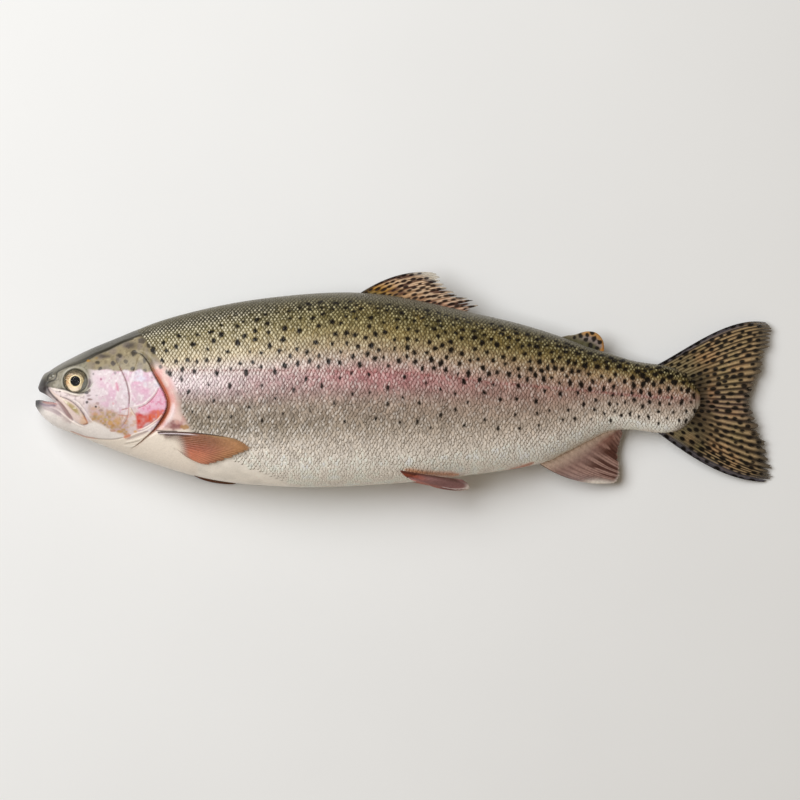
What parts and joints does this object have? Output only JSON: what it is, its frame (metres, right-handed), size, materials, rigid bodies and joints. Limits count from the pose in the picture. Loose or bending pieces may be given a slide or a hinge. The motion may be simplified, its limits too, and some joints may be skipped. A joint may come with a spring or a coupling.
{
  "type": "rainbow trout",
  "caption": "Rainbow trout lying on its right side, life size: head with open mouth, gill covers and eyes, trunk, tail stalk and fins.",
  "frame": {"origin": "bottom centre of the fish's box, on the surface it lies on", "axes": "+X from the snout to the tail, +Y from the belly to the back, +Z from the right flank, which rests, up to the left flank"},
  "size_m": [0.451, 0.1344, 0.0616],
  "materials": {
    "skin": "wet fish skin with small silvery scales, glossy",
    "scales": "small silvery scales, glossy",
    "fin": "thin rayed fin, damp",
    "eye": "clear wet cornea over a gold iris and a black pupil"
  },
  "bodies": {
    "root": {"head": "skin", "lower_jaw": "skin", "throat": "skin", "gill_cover_left": "skin", "gill_cover_right": "skin", "jawbone_left": "skin", "jawbone_right": "skin", "eye_left": "eye", "eye_right": "eye", "trunk_front": "skin", "trunk_rear": "skin", "tail_stalk": "skin", "dorsal_fin": "fin", "adipose_fin": "fin", "anal_fin": "fin", "caudal_fin": "fin", "pectoral_fin_left": "fin", "pectoral_fin_right": "fin", "pelvic_fin_left": "fin", "pelvic_fin_right": "fin"}
  },
  "joints": []
}
